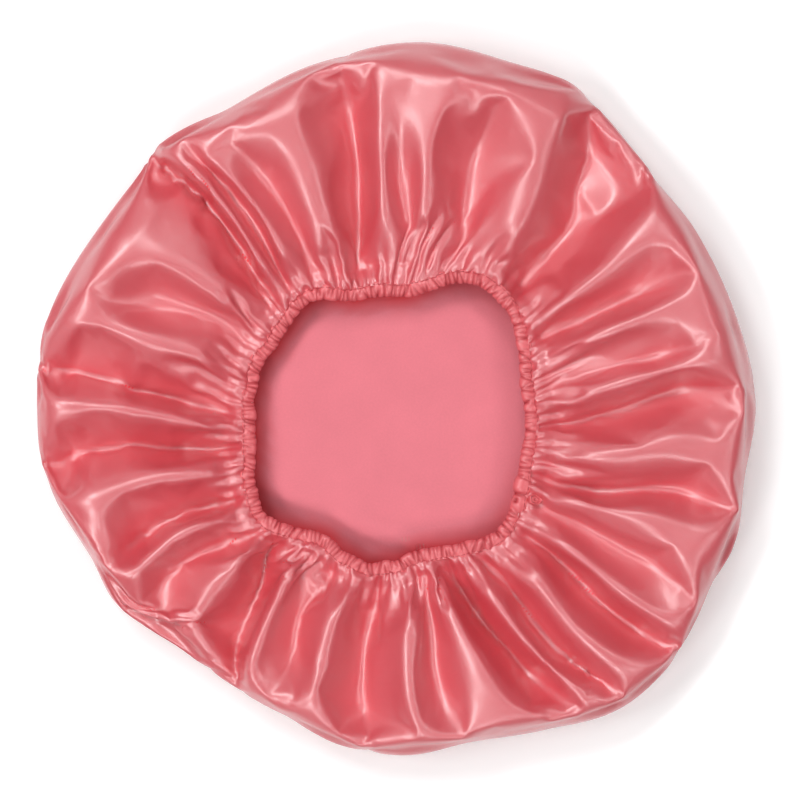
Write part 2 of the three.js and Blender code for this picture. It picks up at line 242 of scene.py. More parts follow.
class Finish:
    """A node tree that is written as expressions."""

    def __init__(self, tree):
        self.tree = tree
        self.tree.nodes.clear()

    def node(self, kind, settings=None, sockets=None, output=0):
        """One node: its settings first, then the values or links of its sockets."""
        node = self.tree.nodes.new(kind)
        for key, value in (settings or {}).items():
            setattr(node, key, value)
        for key, value in (sockets or {}).items():
            if isinstance(value, Tone):
                self.tree.links.new(value.socket, node.inputs[key])
            else:
                node.inputs[key].default_value = value
        return Tone(self, node.outputs[output]) if node.outputs else None

    def colours(self, share, first, second):
        """A colour between two colours."""
        pair = {MIX_SHARE: share, MIX_FIRST: first, MIX_SECOND: second}
        return self.node("ShaderNodeMix", {"data_type": "RGBA"}, pair, MIX_RESULT)

    def point_value(self, name):
        """A value that the mesh holds at each of its points."""
        return self.node("ShaderNodeAttribute", {"attribute_name": name}, None, "Fac")

    def place(self):
        """The place on the piece, in metres."""
        return self.node("ShaderNodeTexCoord", None, None, "Object")

    def cloud(self, where, scale, detail=2.0):
        """Soft noise from 0 to 1."""
        sockets = {"Vector": where, "Scale": scale, "Detail": detail}
        return self.node("ShaderNodeTexNoise", None, sockets)

    def floats(self, where, shift, every, sizes):
        """The weave, 1 between the floats: their gap, its softness, their length and width in millimetres."""
        names = ("Mortar Size", "Mortar Smooth", "Brick Width", "Row Height")
        sockets = {"Vector": where, "Scale": 1 / MM, **dict(zip(names, sizes))}
        return self.node("ShaderNodeTexBrick", {"offset": shift, "offset_frequency": every}, sockets, "Fac")

    def bump(self, height, strength, distance):
        """A surface direction that height tilts."""
        sockets = {"Strength": strength, "Distance": distance, "Height": height}
        return self.node("ShaderNodeBump", None, sockets)

    def surface(self, **sockets):
        """The shader at the end of the tree."""
        names = {key.replace("_", " ").title().replace("Ior", "IOR"): value for key, value in sockets.items()}
        shader = self.node("ShaderNodeBsdfPrincipled", None, names)
        self.node("ShaderNodeOutputMaterial", None, {"Surface": shader})


def new_material(name):
    """A fresh material and its finish."""
    clear_old(bpy.data.materials, name)
    material = bpy.data.materials.new(name)
    material.use_nodes = True
    return material, Finish(material.node_tree)


def opaque(colour, share=1.0):
    """A colour without see-through, darkened to a share of itself."""
    return (*(share * part for part in colour), 1)


def length_setting(**options):
    """A length that a user may change, in metres."""
    return FloatProperty(unit="LENGTH", **options)


def colour_setting(**options):
    """A colour that a user may change."""
    return FloatVectorProperty(subtype="COLOR", min=0, max=1, **options)


# The cloth settles on a grid of rings that run from the crown, round the side and in to the seam.
# Most rings of the crown are made afterwards, inside the grid.
SIM_COLUMNS = 384
CROWN_RING_SHARES = (0.76, 0.82, 0.88)
EDGE_RING_SHARES = (0.92, 0.96, 1.0)
SIDE_RINGS = 9
TOP_RINGS = 34
SOFT_HOLD = 0.5
# From the outline in, the rings of the top that stay firm, and those over which they slacken.
FIRM_RINGS, SLACKENING_RINGS = 2, 8
# The settled grid's columns, and the rings beside the seam that are doubled again for the puckers.
LAID_COLUMNS = 528
SEAM_RINGS = 5

# The top as it is laid: how its rings crowd at the outline, how wide it is from the outline to the seam in
# millimetres, how round it rises to the crest, and the shares of the way in over which it falls to the seam.
TOP_CROWDING = 1.35
TOP_WIDTH = 100
CREST_ROUNDNESS = 2.2
CREST_FALL = (0.3, 1.1)
# Where the folds come to full size, in millimetres in from the outline; their size at the seam, and the share
# of the way out from it where they are full.
FOLDS_GROW = (-34, 14)
FOLDS_AT_SEAM = 0.25
FOLDS_FULL = 0.3
# The ring beside the seam: how far it stands above the seam in millimetres, and how much of the folds it keeps.
BESIDE_SEAM = 0.3
BESIDE_FOLDS = 0.8

# The folds' own unevenness: how far a valley sways in degrees and in how many half waves, where it fades
# against its end, how far a fold leans, and how high its crests stand.
FOLD_SEED = 5
VALLEY_SWAY = (0.4, 1.3)
SWAY_WAVES = (1.2, 2.6)
VALLEY_FADE = (-0.3, 0.08)
FOLD_LEAN = 0.16
CREST_HEIGHTS = (0.5, 1.0)
# How steep a valley is: for the sharpest one, and for each step of bluntness.
STEEP_SHARP, STEEP_BLUNT = 0.7, 0.3

# Small gathers at the seam: how far they stray from an even spacing, their depth in millimetres, the share of
# the way out that they reach, and their width in millimetres.
GATHER_SEED = 11
GATHER_COUNT = 90
GATHER_STRAY = 0.35
GATHER_DEPTHS = (2.0, 5.0)
GATHER_REACHES = (0.14, 0.42)
GATHER_WIDTHS = (1.6, 2.8)
# A gather is full from this share of the way out to this share of its reach. Its bottom's roundness is in square
# millimetres, and its ring is lifted by a share of the mean dip. The gathers are measured round this middle.
GATHER_START, GATHER_FULL = 0.06, 0.3
GATHER_ROUND = 0.25
GATHER_LIFT = 0.2
GATHER_MIDDLE = (-2, -6)

# Puckers at the seam, a fine and a coarse set: how many, height, where they start and are full, and the reach.
PUCKER_SEED = 7
PUCKERS = ((104, 1.6, -1.5, 1.5, 3.8), (47, 1.2, 0.5, 5.0, 7.0))
PUCKER_STRAY = 0.32
PUCKER_SIZES = (0.2, 1.0)
# Soft swells that run over the folds at odds with them: how many, their height and lengths in millimetres, and
# where they come and go, in millimetres from the seam.
SWELL_WAVES = 9
SWELL_HEIGHT = 0.28
SWELL_LENGTHS = (28, 64)
SWELLS_COME, SWELLS_GO = (6, 26), (80, 108)
# These last rings of the grid face up.
FACING_UP = 8

# How the satin settles: the frames it takes, the table under it in metres, and the cloth's own settings.
SETTLE_FRAMES = 25
TABLE_REACH, TABLE_HEIGHT = 0.4, -0.0012
TABLE_FRICTION = 5
CONTACT = 0.001
WEAVE = {
    "quality": 5,
    "mass": 0.002,
    "tension_stiffness": 15,
    "compression_stiffness": 15,
    "shear_stiffness": 5,
    "air_damping": 3,
    "vertex_group_mass": "held",
    "pin_stiffness": 20,
    "use_pressure": True,
    "vertex_group_shrink": "firm",
    "shrink_max": 0.0,
}
WEIGHT = 0.3

# The crown under the mouth: where its swell ends and where its rings join the grid, in metres from the middle.
SWELL_ENDS = (0.062, 0.1)
CROWN_JOINS = (0.1, 0.13)
# The crease inside runs from one point to another, and the crown falls away beyond it: the fall, and over what
# width, in millimetres. It fades where the swell is lower than this, in metres.
CROWN_CREASE = (-66, -46, 9, -72, 3.5, 7)
CREASE_FADE = 0.004
# Soft waves of the crown inside the mouth: start and end point, rise and width, in millimetres.
CROWN_WAVES = (
    (-34, -58, 20, -76, 2.6, 5.0),
    (-62, 8, -40, 44, 1.4, 12.0),
    (10, 20, 48, 6, 1.0, 14.0),
    (-20, -30, 12, -44, 0.8, 12.0),
)
WAVE_ENDS = (0.02, 0.98)
# The crown's rings: for each step in, the columns of the grid to one of its own, and how many rings.
CROWN_STEPS = ((2, 14), (4, 6), (8, 3), (16, 1))

# The side of the pouch, in degrees, that the light reaches under the rim, and how wide it is. The painted shade
# under the rim, a deeper colour, comes in between these places, in millimetres out from the rim.
LIT_BEARING = 10
LIT_SPREAD = 52
POUCH_SHADE_FROM, POUCH_SHADE_TO = -12, -1

# The two faces as discs side by side for baking: their radius, their middle, and how far the cut edge spreads.
DISC_RADIUS = 0.286
DISC_MIDDLE = 0.2935
EDGE_SPREAD = 1.015


def gathers():
    """Small gathers at the casing: angle, depth, how far they reach, and width."""
    draw = np.random.default_rng(GATHER_SEED)
    found = []
    for k in range(GATHER_COUNT):
        angle = (k + draw.uniform(-GATHER_STRAY, GATHER_STRAY)) * 360 / GATHER_COUNT
        found.append((angle, *(draw.uniform(*ends) for ends in (GATHER_DEPTHS, GATHER_REACHES, GATHER_WIDTHS))))
    return found


def pucker(grid):
    """The settled grid with its fine puckers at the seam, which die away up the folds, and its soft swells."""
    draw = np.random.default_rng(PUCKER_SEED)
    columns = grid.shape[1]
    angles = np.arange(columns) * 360 / columns
    lengths = np.linalg.norm(np.diff(grid, axis=0), axis=2).mean(1) / MM
    away = np.concatenate([np.cumsum(lengths[::-1])[::-1], [0]])
    round_way = np.roll(grid, -1, 1) - np.roll(grid, 1, 1)
    normal = np.cross(round_way, np.gradient(grid, axis=0))
    normal /= np.linalg.norm(normal, axis=2)[..., None]
    normal *= np.sign(normal[-FACING_UP:, :, 2].mean())
    lift = np.zeros(grid.shape[:2])
    for count, high, start, full, fade in PUCKERS:
        at = (np.arange(count) + draw.uniform(-PUCKER_STRAY, PUCKER_STRAY, count)) * 360 / count
        size = draw.uniform(*PUCKER_SIZES, count)
        knots = np.concatenate([at - 360, at, at + 360])
        phase = np.interp(angles, knots, np.arange(3 * count))
        swing = np.interp(angles, knots, np.tile(size, 3)) * np.cos(2 * math.pi * phase)
        near = high * smoothstep(start, full, away) * np.exp(-away / fade)
        lift += near[:, None] * swing[None, :]
    on_folds = smoothstep(*SWELLS_COME, away) * (1 - smoothstep(*SWELLS_GO, away))
    for _ in range(SWELL_WAVES):
        heading, start = draw.uniform(0, 2 * math.pi, 2)
        length = draw.uniform(*SWELL_LENGTHS) * MM
        run = grid[..., 0] * math.cos(heading) + grid[..., 1] * math.sin(heading)
        lift += SWELL_HEIGHT * on_folds[:, None] * np.sin(2 * math.pi * run / length + start)
    return grid + normal * (lift * MM)[..., None]


def fold_wave(angles, share):
    """The folds at a share of the way from mouth to outline: up to 1 on a crest, and low in a valley."""
    draw = np.random.default_rng(FOLD_SEED)
    early, late = min(1, 2 * share), max(0, 2 * share - 1)
    places = []
    for mouth, halfway, outline, deep, end, bluntness in VALLEYS:
        middle = mouth + (halfway - mouth) * early + (outline - halfway) * late
        sway = draw.uniform(*VALLEY_SWAY)
        middle += sway * math.sin(math.pi * (draw.uniform(*SWAY_WAVES) * share + draw.uniform(0, 2)))
        fade = 1 - smoothstep(end + VALLEY_FADE[0], end + VALLEY_FADE[1], share)
        lean = draw.uniform(-FOLD_LEAN, FOLD_LEAN)
        places.append((middle % 360, deep * float(fade), bluntness, lean, draw.uniform(*CREST_HEIGHTS)))
    places.sort()
    at, size, bluntness, lean, crest = np.array(places).T
    count = len(places)
    i = np.searchsorted(at, angles, side="right") - 1
    start, end = i % count, (i + 1) % count
    gap = np.mod(at[end] - at[start], 360)
    t = np.mod(angles - at[start], 360) / gap
    t = t + lean[start] * np.sin(math.pi * t) ** 2
    near = np.where(t < 0.5, start, end)
    power = STEEP_SHARP + STEEP_BLUNT * bluntness[near]
    up = np.abs(np.sin(math.pi * np.clip(t, 0, 1)))
    low = crest[start] * (1 - t) + crest[end] * t - 2 * size[near]
    return low + 2 * size[near] * up**power


def gather_depth(angles, share, radius):
    """How far the small gathers dip at a share of the way from mouth to outline, in millimetres."""
    depth = np.zeros_like(angles)
    for middle, deep, end, width in gathers():
        away = turn_between(angles, middle) * math.pi / 180 * radius
        fade = (1 - smoothstep(end * GATHER_FULL, end, share)) * smoothstep(0, GATHER_START, share)
        depth += deep * fade * np.exp(-np.sqrt(away**2 + GATHER_ROUND) / width)
    return depth


def laid_grid(cloth):
    """The cloth before it settles, in metres: rings of points, and how held and how firm each ring is."""
    angles = np.arange(SIM_COLUMNS) * 360 / SIM_COLUMNS
    turn = np.radians(angles)
    reach = round_the_turn(OUTLINE, angles)
    line, outward = mouth_line(angles)
    seam = (line + outward * cloth.seam_reach + np.array([0, 0, cloth.seam_rise])) / MM
    fold, roundness = cloth.fold_height / MM, cloth.side_round / MM
    crest, inset_at_crest = cloth.crest_height / MM, cloth.crest_inset / MM
    rings, hold = [], []

    def lay(radius, height, held):
        level = np.broadcast_to(height, radius.shape)
        rings.append(np.stack([radius * np.cos(turn), radius * np.sin(turn), level], 1))
        hold.append(held)

    for shares, held in ((CROWN_RING_SHARES, 1.0), (EDGE_RING_SHARES, SOFT_HOLD)):
        for share in shares:
            lay((reach - roundness) * share, 0.0, held)
    for k in range(1, SIDE_RINGS + 1):
        bend = math.pi / 2 * k / SIDE_RINGS
        held = SOFT_HOLD - SOFT_HOLD * k / SIDE_RINGS
        lay(reach - roundness * (1 - math.sin(bend)), fold * (1 - math.cos(bend)), held)
    first_top = len(rings)
    for k in range(1, TOP_RINGS + 1):
        plan = (k / TOP_RINGS) ** TOP_CROWDING
        flat = np.stack([reach * np.cos(turn), reach * np.sin(turn)], 1) * (1 - plan) + seam[:, :2] * plan
        inset = plan * TOP_WIDTH
        rise = math.sqrt(max(0.0, 1 - (1 - min(1, inset / inset_at_crest)) ** CREST_ROUNDNESS))
        fall = smoothstep(*CREST_FALL, plan) if k < TOP_RINGS else 1.0
        height = (fold + (crest - fold) * rise) * (1 - fall) + seam[:, 2] * fall
        radius = np.hypot(flat[:, 0] - GATHER_MIDDLE[0], flat[:, 1] - GATHER_MIDDLE[1]).mean()
        near_seam = FOLDS_AT_SEAM + (1 - FOLDS_AT_SEAM) * smoothstep(0, FOLDS_FULL, 1 - plan)
        swell = cloth.fold_size / MM * (smoothstep(*FOLDS_GROW, inset) * near_seam)
        dip = gather_depth(angles, 1 - plan, radius)
        height = height + swell * fold_wave(angles, 1 - plan) - dip + GATHER_LIFT * dip.mean()
        if k >= TOP_RINGS - 1:
            height = seam[:, 2] + (TOP_RINGS - k) * (BESIDE_SEAM + BESIDE_FOLDS * (height - height.mean()))
        rings.append(np.concatenate([flat, height[:, None]], 1))
        hold.append({TOP_RINGS: 1.0, TOP_RINGS - 1: SOFT_HOLD}.get(k, 0.0))
    past_firm = np.arange(len(rings)) - first_top - FIRM_RINGS
    firm = [1 - min(1.0, max(0.0, k / SLACKENING_RINGS)) for k in past_firm.tolist()]
    return np.stack(rings) * MM, hold, firm


def settle(grid, hold, firm, cloth):
    """The grid after the satin has puffed out and come to rest on the table."""
    rings, columns = grid.shape[:2]
    satin = new_piece("settling_satin", grid.reshape(-1, 3), grid_faces(rings, columns))
    for name, weights in (("held", hold), ("firm", firm)):
        group = satin.vertex_groups.new(name=name)
        for j in range(rings):
            group.add(list(range(j * columns, (j + 1) * columns)), weights[j], "REPLACE")
    table = level_square("settling_table", TABLE_REACH, TABLE_HEIGHT)
    table.modifiers.new("Table", "COLLISION")
    table.collision.thickness_outer = CONTACT
    table.collision.cloth_friction = TABLE_FRICTION
    modifier = satin.modifiers.new("Settle", "CLOTH")
    weave = modifier.settings
    for key, value in WEAVE.items():
        setattr(weave, key, value)
    weave.bending_stiffness = cloth.stiffness
    weave.uniform_pressure_force = cloth.puff
    weave.shrink_min = -cloth.slack
    weave.effector_weights.gravity = WEIGHT
    contact = modifier.collision_settings
    contact.collision_quality = 2
    contact.distance_min = CONTACT
    contact.use_self_collision = True
    contact.self_distance_min = CONTACT
    scene = bpy.context.scene
    for step in range(1, SETTLE_FRAMES + 1):
        scene.frame_set(step)
    rested = satin.evaluated_get(bpy.context.evaluated_depsgraph_get()).data
    points = np.empty(len(rested.vertices) * 3)
    rested.vertices.foreach_get("co", points)
    scene.frame_set(1)
    bpy.data.objects.remove(satin)
    bpy.data.objects.remove(table)
    return points.reshape(grid.shape)


def more_columns(grid, columns):
    """The same grid on another count of columns, by a smooth curve round each ring."""
    at = np.arange(columns) * grid.shape[1] / columns
    i = np.floor(at).astype(int)
    t = (at - i)[None, :, None]
    before, start, end, after = (np.take(grid, i + k, axis=1, mode="wrap") for k in (-1, 0, 1, 2))
    return 0.5 * (
        2 * start
        + (end - before) * t
        + (2 * before - 5 * start + 4 * end - after) * t**2
        + (3 * start - before - 3 * end + after) * t**3
    )


def more_rings(grid):
    """The same grid with a ring between each two."""
    longer = np.concatenate([2 * grid[:1] - grid[1:2], grid, 2 * grid[-1:] - grid[-2:-1]])
    between = (9 * longer[1:-2] + 9 * longer[2:-1] - longer[:-3] - longer[3:]) / 16
    finer = np.empty((grid.shape[0] * 2 - 1,) + grid.shape[1:])
    finer[0::2] = grid
    finer[1::2] = between
    return finer


def crown_rise(points, cloth):
    """How far the crown stands off the table under the mouth, in a low swell with soft waves, in metres."""
    places = points[:, :2]
    middle = mouth_line(RIM_ANGLES)[0][:, :2].mean(0)
    rise = cloth.crown_swell * (1 - smoothstep(*SWELL_ENDS, np.linalg.norm(places - middle, axis=1)))
    x0, y0, x1, y1, fall, slope = CROWN_CREASE
    start, way = np.array([x0, y0]) * MM, np.array([x1 - x0, y1 - y0]) * MM
    beside = (places - start) @ np.array([way[1], -way[0]]) / np.linalg.norm(way)
    rise -= fall * MM * smoothstep(0, slope * MM, beside) * smoothstep(0, CREASE_FADE, rise)
    for x0, y0, x1, y1, high, width in CROWN_WAVES:
        start, way = np.array([x0, y0]) * MM, np.array([x1 - x0, y1 - y0]) * MM
        share = np.clip((places - start) @ way / (way @ way), 0, 1)
        away = np.linalg.norm(places - start - share[:, None] * way, axis=1)
        ends = np.sin(np.clip(share, *WAVE_ENDS) * math.pi) ** 0.5
        rise += high * MM * ends * np.exp(-((away / (width * MM)) ** 2))
    return rise


def painted_shade_under_rim(points):
    """How deep in the painted shade under the rim each point lies: 0 in the open mouth and on the lit side, 1 in
    the shaded pouch.
    """
    line, _ = mouth_line(RIM_ANGLES)
    middle = line.mean(0)
    bearing = np.degrees(np.arctan2(line[:, 1] - middle[1], line[:, 0] - middle[0]))
    here = np.degrees(np.arctan2(points[:, 1] - middle[1], points[:, 0] - middle[0]))
    rim = np.interp(here, bearing, np.linalg.norm(line[:, :2] - middle[:2], axis=1), period=360)
    shaded = 1 - np.exp(-((turn_between(here, LIT_BEARING) / LIT_SPREAD) ** 4))
    out_from_rim = np.linalg.norm(points[:, :2] - middle[:2], axis=1) - rim
    return shaded * smoothstep(POUCH_SHADE_FROM * MM, POUCH_SHADE_TO * MM, out_from_rim)


def one_ply(grid, cloth):
    """Points, faces and flat places of the outer face of the whole circle: the grid, then the crown inside it."""
    rings, columns = grid.shape[:2]
    points = [grid.reshape(-1, 3)]
    faces = grid_faces(rings, columns)
    lengths = np.linalg.norm(np.diff(grid, axis=0), axis=2).mean(1)
    inner = np.linalg.norm(grid[0, :, :2], axis=1).mean()
    radii = inner + np.concatenate([[0], np.cumsum(lengths)])
    turn = np.arange(columns) * 2 * math.pi / columns
    flat = [np.stack([radius * np.cos(turn), radius * np.sin(turn)], 1) for radius in radii]
    outer_start, outer_count = 0, columns
    total = rings * columns
    steps = [every for every, times in CROWN_STEPS for _ in range(times)]
    for k, every in enumerate(steps):
        share = 1 - (k + 1) / (len(steps) + 1)
        count = columns // every
        points.append(grid[0, ::every] * share)
        flat.append(flat[0][::every] * share)
        for i in range(count):
            here, there = total + i, total + (i + 1) % count
            if outer_count == count:
                near, far = outer_start + i, outer_start + (i + 1) % count
                faces.append((here, there, far, near))
                continue
            near, between = outer_start + 2 * i, outer_start + 2 * i + 1
            far = outer_start + (2 * i + 2) % outer_count
            faces.extend([(here, between, near), (here, there, between), (there, far, between)])
        outer_start, outer_count = total, count
        total += count
    faces.extend((total, outer_start + (i + 1) % outer_count, outer_start + i) for i in range(outer_count))
    points.append(np.zeros((1, 3)))
    flat.append(np.zeros((1, 2)))
    points, flat = np.concatenate(points), np.concatenate(flat)
    crown = points[rings * columns:]
    joins = 1 - smoothstep(*CROWN_JOINS, np.hypot(crown[:, 0], crown[:, 1]))
    crown[:, 2] += crown_rise(crown, cloth) * joins
    return points, faces, flat


def two_plies(name, grid, cloth):
    """The closed cloth: its outer face, its inner face a thickness away, and the cut edge between them."""
    points, faces, flat = one_ply(grid, cloth)
    rings, columns = grid.shape[:2]
    draft = new_piece(name + "_draft", points, faces)
    normals = np.empty(len(points) * 3)
    draft.data.vertices.foreach_get("normal", normals)
    bpy.data.objects.remove(draft)
    count = len(points)
    both = np.concatenate([points, points - normals.reshape(-1, 3) * cloth.thickness])
    inner = [tuple(count + k for k in reversed(face)) for face in faces]
    last = (rings - 1) * columns
    edge = [
        (last + i, last + (i + 1) % columns, count + last + (i + 1) % columns, count + last + i)
        for i in range(columns)
    ]
    piece = new_piece(name, both, faces + inner + edge)
    mesh = piece.data
    sides = np.zeros(len(mesh.polygons), np.int32)
    sides[len(faces):] = 1
    mesh.polygons.foreach_set("material_index", sides)
    corners = np.empty(len(mesh.loops), np.int32)
    mesh.loops.foreach_get("vertex_index", corners)
    place = flat[corners % count]
    mesh.uv_layers.new(name="cut").uv.foreach_set("vector", place.astype(np.float32).ravel())
    # The outer and inner face lie side by side as two discs, and the cut edge is a thin ring on the first.
    disc = DISC_RADIUS / np.linalg.norm(flat, axis=1).max()
    on_inner = (corners >= count)[:, None]
    spread = place * disc
    laid = np.where(on_inner, 1 - DISC_MIDDLE, DISC_MIDDLE) + spread
    first_edge = sum(len(face) for face in faces + inner)
    edge_spread = np.where(on_inner[first_edge:], EDGE_SPREAD, 1.0)
    laid[first_edge:] = DISC_MIDDLE + spread[first_edge:] * edge_spread
    # The painted shade under the rim, kept at each point for the reverse's finish.
    shade = np.tile(painted_shade_under_rim(points), 2).astype(np.float32)
    mesh.attributes.new("pouch", "FLOAT", "POINT").data.foreach_set("value", shade)
    mesh.uv_layers.new(name="OFBake").uv.foreach_set("vector", laid.astype(np.float32).ravel())
    return piece


def satin_outside(cloth):
    """The glossy face: long floats of thread with a soft broad shine and a thin bright one."""
    material, paint = new_material("satin_outside")
    cut = paint.node("ShaderNodeUVMap", {"uv_map": "cut"})
    floats = paint.floats(cut, 0.375, 3, (0.05, 0.6, 2.4, 0.32))
    long_way = paint.node("ShaderNodeMapping", None, {"Vector": cut, "Scale": (60.0, 900.0, 1.0)})
    streak = paint.cloud(long_way, 1.0, 3.0)
    haze = paint.cloud(cut, 26.0)
    grain = paint.cloud(cut, 1000.0)
    relief = (1 - floats) * 0.5 + streak * 0.35 + grain * 0.6
    paint.surface(
        base_color=paint.colours(
            haze * 0.5 + streak * 0.5, opaque(cloth.deep_colour), opaque(cloth.bright_colour)
        ),
        roughness=0.35 + 0.1 * streak,
        ior=1.8,
        specular_ior_level=1.0,
        coat_weight=0.55 + 0.25 * haze + 0.4 * grain,
        coat_roughness=0.27,
        normal=paint.bump(relief, 0.5, 0.1 * MM),
    )
    return material


def satin_inside(cloth):
    """The matt reverse, where the short floats show, with painted shade under the rim."""
    material, paint = new_material("satin_inside")
    cut = paint.node("ShaderNodeUVMap", {"uv_map": "cut"})
    floats = paint.floats(cut, 0.5, 2, (0.08, 0.8, 0.7, 0.35))
    haze = paint.cloud(cut, 38.0, 4.0)
    grain = paint.cloud(cut, 900.0)
    matt = paint.colours(
        haze * 0.6 + grain * 0.4, opaque(cloth.inside_colour, 0.76), opaque(cloth.inside_colour)
    )
    paint.surface(
        # Painted shade: under the rim and away from the lit side, the reverse turns to a deeper colour in place of
        # the red light in that shadow.
        base_color=paint.colours(paint.point_value("pouch"), matt, opaque(cloth.pouch_shade_colour)),
        roughness=0.68 + 0.12 * grain,
        specular_ior_level=0.3,
        normal=paint.bump((1 - floats) * 0.6 + grain * 0.6, 0.5, 0.08 * MM),
    )
    return material


class BonnetClothSettings(bpy.types.PropertyGroup):
    """Sizes and colours of the satin circle."""

    thickness: length_setting(
        name="Thickness", description="Thickness of the satin", default=0.3 * MM, precision=5
    )
    cut_width: length_setting(
        name="Cut width", description="Width of the circle before it was gathered", default=0.6
    )
    fold_height: length_setting(
        name="Fold height", description="Height of the outline's fold", default=13 * MM
    )
    side_round: length_setting(
        name="Side roundness", description="How far in the side starts to turn up", default=26 * MM
    )
    crest_height: length_setting(
        name="Crest height", description="Middle height of the folds before they settle", default=27 * MM
    )
    fold_size: length_setting(name="Fold size", description="Half the height of a fold", default=11 * MM)
    crest_inset: length_setting(
        name="Crest inset", description="How far in from the outline the folds are highest", default=24 * MM
    )
    crown_swell: length_setting(
        name="Crown swell", description="How far the crown swells up under the mouth", default=6 * MM
    )
    seam_reach: length_setting(
        name="Seam reach", description="From the elastic's middle out to the seam", default=2.0 * MM
    )
    seam_rise: length_setting(
        name="Seam rise", description="How far the seam lies above the elastic's middle", default=1.3 * MM
    )
    slack: FloatProperty(
        name="Slack", description="Share of spare cloth in the gathered top", default=0.06, subtype="FACTOR"
    )
    puff: FloatProperty(name="Puff", description="How hard the air inside lifts the folds", default=1.3)
    stiffness: FloatProperty(name="Stiffness", description="How much the satin resists a crease", default=10.0)
    deep_colour: colour_setting(
        name="Deep coral", description="Darker thread colour", default=(0.64, 0.048, 0.066)
    )
    bright_colour: colour_setting(
        name="Bright coral", description="Lighter thread colour", default=(0.73, 0.068, 0.096)
    )
    inside_colour: colour_setting(
        name="Matt coral", description="Colour of the reverse", default=(0.88, 0.2255, 0.275)
    )
    # Painted shade: the deeper colour that the reverse is painted under the rim.
    pouch_shade_colour: colour_setting(
        name="Pouch coral", description="Colour of the reverse under the rim", default=(0.76, 0.04, 0.05)
    )


class BONNET_OT_cloth(bpy.types.Operator):
    """Makes the gathered satin circle: crown, side and folded top"""

    bl_idname = "bonnet.cloth"
    bl_label = "Gathered satin"

    def execute(self, context):
        cloth = context.scene.bonnet_cloth
        grid, hold, firm = laid_grid(cloth)
        grid = settle(grid, hold, firm, cloth)
        grid = more_columns(grid, LAID_COLUMNS)[len(CROWN_RING_SHARES):]
        for start in (len(EDGE_RING_SHARES) + SIDE_RINGS, -SEAM_RINGS):
            grid = np.concatenate([grid[:start], more_rings(grid[start:])])
        piece = two_plies("gathered_satin", pucker(grid), cloth)
        piece.data.materials.append(satin_outside(cloth))
        piece.data.materials.append(satin_inside(cloth))
        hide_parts("crown", "side_band", "gathered_top")
        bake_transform(piece)
        return {"FINISHED"}


CASING_SEED = 23
CASING_COLUMNS = 1760
CASING_POINTS = 28
# How square the casing's section is, how much lower it gets towards the cloth, and how far a crease draws it in.
CASING_SQUARE = 0.8
CASING_LOWERS = 0.3
CREASE_DRAWS_IN = 0.6
# The casing never pinches in past its elastic, which lies double at the join, in millimetres.
LEAST_HALF_WIDTH = 3.2
LEAST_HALF_HEIGHT = 0.9
LAP_HEIGHT = 0.8
LAP_REACH = 12
# The creases: how far they stray from an even spacing, their slant, depth and width in millimetres, and the side
# of the casing that they keep to, where 0 is both.
RUFFLE_STRAY = 0.38
RUFFLE_SLANT = 0.9
RUFFLE_DEPTHS = (0.5, 1.5)
RUFFLE_WIDTHS = (0.38, 0.75)
RUFFLE_SIDES = (-1, 0, 0, 0, 1)
DEEPEST = 1.5
# The casing's slow swings: waves round the mouth, and their size in millimetres, or in degrees for the tilt.
WIDTH_SWING = ((17, 23, 31, 44), 0.3)
HEIGHT_SWING = ((13, 29, 37, 61), 0.22)
TILT_SWING = ((9, 16, 27, 38), 7.0)
LIFT_SWING = ((11, 19, 33), 0.35)
# The round puff and the curl at the join: degrees from the join, reach in degrees, and how much wider and higher
# the casing gets there, in millimetres. Few creases cross them, and one parts them, in millimetres from the join.
PUFF_AT, PUFF_REACH, PUFF_WIDER, PUFF_HIGHER = 6, 2.9, 0.8, 1.1
CURL_AT, CURL_REACH, CURL_WIDER, CURL_HIGHER = -0.6, 2.5, 0.3, 1.3
JOIN_SMOOTHS = 0.9
PARTING_AT, PARTING_WIDTH = 3.4, 0.5
# The seam's pinch and the curl's hole: depth and width, and the hole's place in from the elastic, in millimetres.
PINCH_DEPTH, PINCH_WIDTH = 0.45, 0.8
HOLE_DEPTH, HOLE_WIDTH, HOLE_IN = 2.0, 1.2, 1.5
# The tuck beside the join: degrees from the join, millimetres out from the elastic and above the cloth, how near
# the cloth's top is felt for, its lean outward, sideways and up, and its half length and half width.
TUCK_AT, TUCK_OUT, TUCK_ABOVE, TUCK_FEELS = 1.7, 7.6, 0.9, 2.5
TUCK_LEAN = (0.42, 0.2, 0.9)
TUCK_HALF_LENGTH, TUCK_HALF_WIDTH = 3.5, 2.5
TUCK_SIDES = 28
# The tuck's profile from its foot over its rim down its inside: share of its width, rise in millimetres, and depth
# of shade.
TUCK_PROFILE = (
    (0.8, -5, 0.6), (0.97, -2.5, 0.4), (1.0, -0.6, 0.1), (0.98, 0.3, 0.0),
    (0.9, 0.6, 0.0), (0.8, 0.3, 0.15), (0.74, -0.3, 0.55), (0.62, -0.5, 0.4),
    (0.46, -0.1, 0.1), (0.34, 0.0, 0.1), (0.22, -0.4, 0.45), (0.1, -0.6, 0.6),
)


def wander(draw, angles, waves, size):
    """A slow irregular swing round the turn."""
    swing = np.zeros_like(angles)
    for wave in waves:
        swing += draw.uniform(0.5, 1.0) * np.sin(np.radians(wave * angles + draw.uniform(0, 360)))
    return size * swing / len(waves) ** 0.5


def squared(wave):
    """A round wave made squarer, for the casing's section."""
    return np.sign(wave) * np.abs(wave) ** CASING_SQUARE


